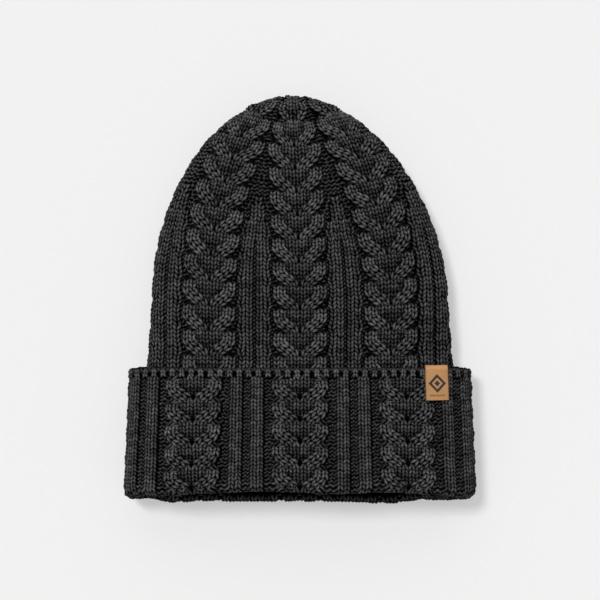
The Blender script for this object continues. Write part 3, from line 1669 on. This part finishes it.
@dataclass
class LeatherTab:
    """A strap of leather folded over the cuff's edge, with a plain rhombus printed on it."""

    form: HatForm
    leather: bpy.types.Material
    print_: bpy.types.Material
    pressed: bpy.types.Material
    thread: bpy.types.Material
    x: float = 77.2 * MM
    width: float = 13.4 * MM
    front: float = 19.8 * MM
    back: float = 12 * MM
    skin: float = 1 * MM
    stand: float = 0.9 * MM
    emblem: float = 10.4 * MM
    line: float = 1.3 * MM
    relief: float = 0.22 * MM
    emblem_rise: float = 9.6 * MM
    bar: tuple[float, float] = (9 * MM, 0.9 * MM)
    bar_rise: float = 2.8 * MM
    tack: tuple[float, float] = (0.7 * MM, 2.4 * MM)
    tack_inset: float = 1.5 * MM
    edge_round: float = 0.22 * MM
    fold_length: float = 4 * MM
    fold_squash: float = 0.62
    fold_share: float = 0.8  # length of the fold, as a share of a half circle's

    TAB_MAP = "tab"

    def _angle(self, across: Array, depth: float) -> Array:
        """Finds the angle round the cuff at a distance across the label.

        Args:
            across: metres from the label's middle.
            depth: how far in from the cuff's outside.

        Returns:
            The angle.
        """
        step = 1 * MM
        beside = self.form.cuff_angle_at(np.array([self.x - step, self.x + step]))
        ends = self.form.cuff_point(self.form.cuff_edge_y, 0.0, beside)
        seen = 2 * step / float(np.linalg.norm(ends[1] - ends[0]))
        return self.form.cuff_angle_at(self.x + across * seen, depth)

    @property
    def top(self) -> float:
        """How far the fold's outside stands beyond the cuff's edge."""
        return 2 * self.form.clearance + self.form.edge_cord + self.skin

    def _place_front(self, piece: bpy.types.Object, out: float) -> None:
        """Bends a flat piece on to the label's front.

        Args:
            piece: the object, with x across the label and y up from its lower edge.
            out: how far it stands out of the cuff.
        """
        for vertex in piece.data.vertices:
            across, up, height = vertex.co
            y = self.form.cuff_edge_y + self.top - self.front + up
            point = self.form.cuff_point(y, -(out + height), self._angle(np.array(across), -out))
            vertex.co = Vector(point.tolist())

    def _strap_path(self, travelled: float) -> tuple[float, float]:
        """Follows the strap's middle up the front, over the cuff's edge and down inside.

        Args:
            travelled: distance along it.

        Returns:
            Rise beyond the cuff's edge, and depth.
        """
        outer = -(self.stand + self.skin / 2)
        inner = self.form.cuff_wall + self.form.clearance + self.skin / 2
        radius = (inner - outer) / 2
        crown, height = self.top - self.skin / 2, radius * self.fold_squash
        straight, bend = self.front - height, radius * math.pi * self.fold_share
        if travelled <= straight:
            return crown - self.front + self.skin / 2 + travelled, outer
        if travelled <= straight + bend:
            turn = (travelled - straight) / bend * math.pi
            return crown - height * (1 - math.sin(turn)), outer + radius * (1 - math.cos(turn))
        return crown - height - (travelled - straight - bend), inner

    def tab(self) -> bpy.types.Object:
        """Makes the strap: a grid bent over the edge, thickened and with its edges rounded.

        Returns:
            The piece.
        """
        length = self.front + self.back + self.fold_length
        bpy.ops.object.select_all(action="DESELECT")
        bpy.ops.mesh.primitive_grid_add(x_subdivisions=12, y_subdivisions=56, size=1)
        piece = bpy.context.object
        piece.name = piece.data.name = "leather_tab"
        tab_map = piece.data.uv_layers.new(name=self.TAB_MAP)
        flat = [vertex.co.copy() for vertex in piece.data.vertices]
        for loop in piece.data.loops:
            place = flat[loop.vertex_index]
            tab_map.data[loop.index].uv = (place.x + 0.5, place.y + 0.5)
        for vertex, place in zip(piece.data.vertices, flat):
            rise, depth = self._strap_path((place.y + 0.5) * length)
            angle = self._angle(np.array(place.x * self.width), depth)
            point = self.form.cuff_point(self.form.cuff_edge_y + rise, depth, angle)
            vertex.co = Vector(point.tolist())
        apply_modifier(piece, "SOLIDIFY", thickness=self.skin, offset=0.0)
        corners = {"segments": 3, "limit_method": "ANGLE", "angle_limit": 0.9}
        apply_modifier(piece, "BEVEL", width=self.edge_round, **corners)
        piece.data.shade_smooth()
        return dress(piece, self.leather, ["label_tab"])

    def _raised(self, piece: bpy.types.Object, name: str) -> bpy.types.Object:
        """Gives a flat shape its thickness and bends it on to the label.

        Args:
            piece: the object, cut into small faces.
            name: its name.

        Returns:
            The piece.
        """
        piece.name = piece.data.name = name
        apply_modifier(piece, "SOLIDIFY", thickness=self.relief, offset=1.0)
        self._place_front(piece, self.stand + self.skin - self.relief * 0.35)
        return piece

    def _rhombus(self, half: float, ring: float | None) -> bpy.types.Object:
        """Draws a flat rhombus, or a frame of one, cut into small faces.

        Args:
            half: from its middle to a corner.
            ring: width of the frame, or None.

        Returns:
            The object.
        """
        bpy.ops.object.select_all(action="DESELECT")
        bpy.ops.mesh.primitive_circle_add(
            vertices=4, radius=half, fill_type="NGON", location=(0, self.emblem_rise, 0)
        )
        piece = bpy.context.object
        bpy.ops.object.transform_apply(location=True, rotation=True, scale=True)
        bpy.ops.object.mode_set(mode="EDIT")
        bpy.ops.mesh.select_all(action="SELECT")
        if ring is not None:
            bpy.ops.mesh.inset(thickness=ring, depth=0)
            bpy.ops.mesh.delete(type="ONLY_FACE")
            bpy.ops.mesh.select_all(action="SELECT")
        bpy.ops.mesh.subdivide(number_cuts=5)
        bpy.ops.mesh.normals_make_consistent(inside=False)
        bpy.ops.object.mode_set(mode="OBJECT")
        return piece

    def _strip(self, centre: tuple[float, float], size: tuple[float, float]) -> bpy.types.Object:
        """Draws a flat strip cut into small faces.

        Args:
            centre: its middle, across and up the label.
            size: its width and height.

        Returns:
            The object.
        """
        bpy.ops.object.select_all(action="DESELECT")
        bpy.ops.mesh.primitive_grid_add(
            x_subdivisions=8, y_subdivisions=4, size=1, location=(*centre, 0)
        )
        piece = bpy.context.object
        piece.scale = (*size, 1)
        bpy.ops.object.transform_apply(location=True, rotation=True, scale=True)
        return piece

    def make(self) -> None:
        """Makes the tab, its print and its tacks."""
        self.tab()
        outline = self._raised(self._rhombus(self.emblem / 2, self.line), "emblem_frame")
        dress(outline, self.print_, ["label_emblem_frame"])
        centre = self._raised(self._rhombus(self.line * 1.3, None), "emblem_centre")
        dress(centre, self.print_, ["label_emblem_centre"])
        bar = self._raised(self._strip((0, self.bar_rise), self.bar), "emblem_bar")
        dress(bar, self.pressed, ["label_bar"])
        for side, word in ((-1, "left"), (1, "right")):
            centre_x = side * (self.width / 2 - self.tack_inset)
            place = (centre_x, self.tack_inset + self.tack[1] / 2)
            tack = self._raised(self._strip(place, self.tack), f"tack_{word}")
            apply_modifier(tack, "SUBSURF", levels=1, render_levels=1)
            dress(tack, self.thread, [f"label_tack_{word}"])


@dataclass
class CareLabel:
    """A blank satin ribbon, folded in two and held beside the back seam."""

    ribbon: bpy.types.Material
    skin: float = 0.3 * MM
    curl: float = 1.2 * MM
    stitch_length: float = 2.4 * MM
    stitch_rise: float = 0.12 * MM

    def make(self) -> None:
        """Makes the ribbon and the row of stitches that holds it."""
        low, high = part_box("care_label")
        length, width = high.x - low.x, high.y - low.y
        radius = (high.z - low.z - self.skin) / 2
        straight = length - radius - self.skin / 2
        total = 2 * straight + math.pi * radius
        bpy.ops.object.select_all(action="DESELECT")
        bpy.ops.mesh.primitive_grid_add(x_subdivisions=64, y_subdivisions=10, size=1)
        piece = bpy.context.object
        piece.name = piece.data.name = "care_ribbon"
        for vertex in piece.data.vertices:
            travelled = (vertex.co.x + 0.5) * total
            if travelled < straight:
                x, turn = travelled, -math.pi / 2
            elif travelled < straight + math.pi * radius:
                x, turn = straight, (travelled - straight) / radius - math.pi / 2
            else:
                x, turn = total - travelled, math.pi / 2
            lift = self.curl * (x / length) ** 3
            vertex.co = Vector(
                (
                    low.x + x + radius * max(0.0, math.cos(turn)),
                    low.y + (vertex.co.y + 0.5) * width,
                    low.z + self.skin / 2 + radius * (1 + math.sin(turn)) + lift,
                )
            )
        apply_modifier(piece, "SOLIDIFY", thickness=self.skin, offset=0.0)
        piece.data.shade_smooth()
        dress(piece, self.ribbon, ["care_label"])
        self._stitches()

    def _stitches(self) -> bpy.types.Object:
        """Makes the running stitches along the ribbon's held end.

        Returns:
            The piece.
        """
        low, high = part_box("care_label_thread")
        radius = (high.x - low.x) / 3
        middle_x, middle_z = (low.x + high.x) / 2, (low.z + high.z) / 2
        steps = 90
        y = np.linspace(low.y + radius, high.y - radius, steps)
        wave = np.cos(FULL_TURN * (y - low.y) / self.stitch_length)
        z = middle_z + self.stitch_rise * wave
        points = np.stack([np.full_like(y, middle_x), y, z], axis=1)
        strand = Strand(points, np.tile([0.0, 0.0, 1.0], (len(points), 1)), False)
        piece = MeshMaker(Yarn(radius, radius, 6)).build("care_stitches", [strand], steps)
        return dress(piece, self.ribbon, ["care_label_thread"])


# ---- Studio ----


@dataclass
class Studio:
    """Pale floor, soft light from the upper left and a camera straight above."""

    frame_width: float = 345.5 * MM
    plane_height: float = 17 * MM
    floor_size: float = 6.0
    clip: tuple[float, float] = (0.05, 20.0)
    lens: float = 120.0
    sensor: float = 36.0
    sun_strength: float = 2.33
    sun_spread: float = 14.0
    sun_direction: tuple[float, float, float] = (0.36, -0.38, -1.0)
    sky_strength: float = 0.35
    top_strength: float = 1.6
    top_spread: float = 100.0
    top_direction: tuple[float, float, float] = (0.0, -1.0, -0.12)

    def floor(self) -> None:
        """Adds the floor."""
        bpy.ops.object.select_all(action="DESELECT")
        bpy.ops.mesh.primitive_plane_add(size=self.floor_size)
        floor = bpy.context.object
        floor.name = "studio_floor"
        floor.data.materials.append(Paper("studio_paper").make())
        floor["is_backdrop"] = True

    def _sun(
        self, name: str, strength: float, spread: float, direction: tuple[float, float, float]
    ) -> bpy.types.Light:
        """Adds one distant lamp.

        Args:
            name: its name.
            strength: its strength.
            spread: how wide it looks, in degrees.
            direction: the way that it shines.

        Returns:
            Its light.
        """
        light = bpy.data.lights.new(name, "SUN")
        light.energy, light.angle = strength, math.radians(spread)
        lamp = bpy.data.objects.new(name, light)
        lamp.rotation_mode = "QUATERNION"
        lamp.rotation_quaternion = Vector(direction).to_track_quat("-Z", "Y")
        bpy.context.scene.collection.objects.link(lamp)
        return light

    def lights(self) -> None:
        """Adds a soft sun, a wide light from beyond the crown and an even sky."""
        self._sun("window", self.sun_strength, self.sun_spread, self.sun_direction)
        fill = self._sun("top_light", self.top_strength, self.top_spread, self.top_direction)
        fill.use_shadow = False
        world = bpy.data.worlds.new("studio_sky")
        world.use_nodes = True
        background = world.node_tree.nodes["Background"]
        background.inputs["Color"].default_value = (1, 1, 1, 1)
        background.inputs["Strength"].default_value = self.sky_strength
        bpy.context.scene.world = world

    def camera(self) -> None:
        """Adds the camera, looking straight down with the crown up."""
        data = bpy.data.cameras.new("camera")
        data.lens, data.sensor_width = self.lens, self.sensor
        camera = bpy.data.objects.new("camera", data)
        distance = self.frame_width * self.lens / self.sensor
        camera.location = (0, 0, self.plane_height + distance)
        data.clip_start, data.clip_end = self.clip
        bpy.context.scene.collection.objects.link(camera)
        bpy.context.scene.camera = camera

    def make(self) -> None:
        """Sets up the studio."""
        self.floor()
        self.lights()
        self.camera()
        bpy.context.scene.view_settings.view_transform = "Standard"


# ---- The hat ----


def make_cloth(form: HatForm, wool: bpy.types.Material) -> Cloth:
    """Knits the cap, the band, the cuff and the cast-on edge, and lines them.

    Args:
        form: the hat's form.
        wool: the yarn's finish.

    Returns:
        The cuff's cloth, on which the edge is worked.
    """
    tailor = Tailor(form)
    cap, cuff = tailor.cap(), tailor.cuff()

    def cap_width(row: Array) -> Array:
        """Width of a repeat on the cap."""
        return cap.length_round(row) / Chart.repeats

    def cuff_width(row: Array) -> Array:
        """Width of a repeat on the cuff."""
        return cuff.length_round(row) / Chart.repeats

    cap_chart = Chart(Gauge(15.2 * MM, 4.35 * MM, 1.8 * MM, 2.42 * MM), 4.6, 1, cap_width)
    band_gauge = Gauge(15.2 * MM, 3.9 * MM, 2.2 * MM, 2.3 * MM, relief=0.5)
    band_chart = Chart(band_gauge, 3.0, 1, cap_width)
    cuff_gauge = Gauge(16.0 * MM, 4.2 * MM, 2.6 * MM, 2.17 * MM, cross_rows=3.8)
    cuff_chart = Chart(cuff_gauge, 8.0, -1, cuff_width)
    edge_gauge = Gauge(0, 3.2 * MM, 2.6 * MM, 2.17 * MM, rib_rise=1.5 * MM, gutter_drop=2.2 * MM)
    edge_chart = RibChart(edge_gauge, cuff_width)
    dome, band = range(0, Tailor.DOME_ROWS - 1), range(-Tailor.BAND_ROWS, 0)
    edge, turn_up = range(0, EDGE_COURSES), range(EDGE_COURSES, Tailor.CUFF_ROWS)
    plainer = {"loop": Loop(steps=10), "yarn": Yarn(sides=4), "courses_per_piece": 16}
    layers = (
        KnittedLayer("cap", "knit_body", cap, cap_chart, wool, dome),
        KnittedLayer("band", "knit_body", cap, band_chart, wool, band, **plainer),
        KnittedLayer("cuff", "turn_up_cuff", cuff, cuff_chart, wool, turn_up),
        KnittedLayer("edge", "cast_on_edge", cuff, edge_chart, wool, edge),
    )
    for number, layer in enumerate(layers):
        layer.knit(SEED + number)

    def cap_drop(row: Array) -> Array:
        """Inside the cap, but outside the band, where the cuff hides it."""
        return blend(TUCK * 2, -TUCK, ease((row - BAND_LINING_ROW) / BAND_LINING_ROWS))

    def cuff_drop(row: Array) -> Array:
        """Inside the cuff all the way."""
        return np.full_like(row, -TUCK)

    cap_rows = (-Tailor.BAND_ROWS + 0.5, Tailor.DOME_ROWS - 0.6)
    cuff_rows = (0.3, Tailor.CUFF_ROWS - 0.5)
    shadow = ShadowCloth("between_stitches").make()
    for lining in (
        Lining("cap_lining", "knit_body", cap, cap_chart, cap_rows, cap_drop, True),
        Lining("cuff_lining", "turn_up_cuff", cuff, cuff_chart, cuff_rows, cuff_drop, False),
    ):
        lining.make(shadow)
    return cuff


def main() -> None:
    """Builds the hat and the studio, and notes the sizes."""
    logging.basicConfig(level=logging.INFO, format="%(name)s: %(message)s")
    solid_low, solid_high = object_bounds()
    cuff_low, cuff_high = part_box("turn_up_cuff")
    form = HatForm(
        length=solid_high.y - solid_low.y,
        cuff_half_width=(cuff_high.x - cuff_low.x) / 2,
        cuff_thickness=cuff_high.z - cuff_low.z,
    )
    Studio().make()
    wool = PliedWool("charcoal_wool").make()
    cuff = make_cloth(form, wool)
    CastOnCord(cuff, wool).make()
    LooseYarn(form, wool).make()
    thread = Satin("tan_thread", (0.45, 0.26, 0.11)).make()
    pressed = DarkPrint("pressed_leather", (0.2, 0.1, 0.038)).make()
    dark_print = DarkPrint("dark_print").make()
    tab = LeatherTab(form, TanLeather("tan_leather").make(), dark_print, pressed, thread)
    tab.make()
    CareLabel(Satin("satin_ribbon", (0.72, 0.71, 0.68)).make()).make()


if __name__ == "__main__":
    main()
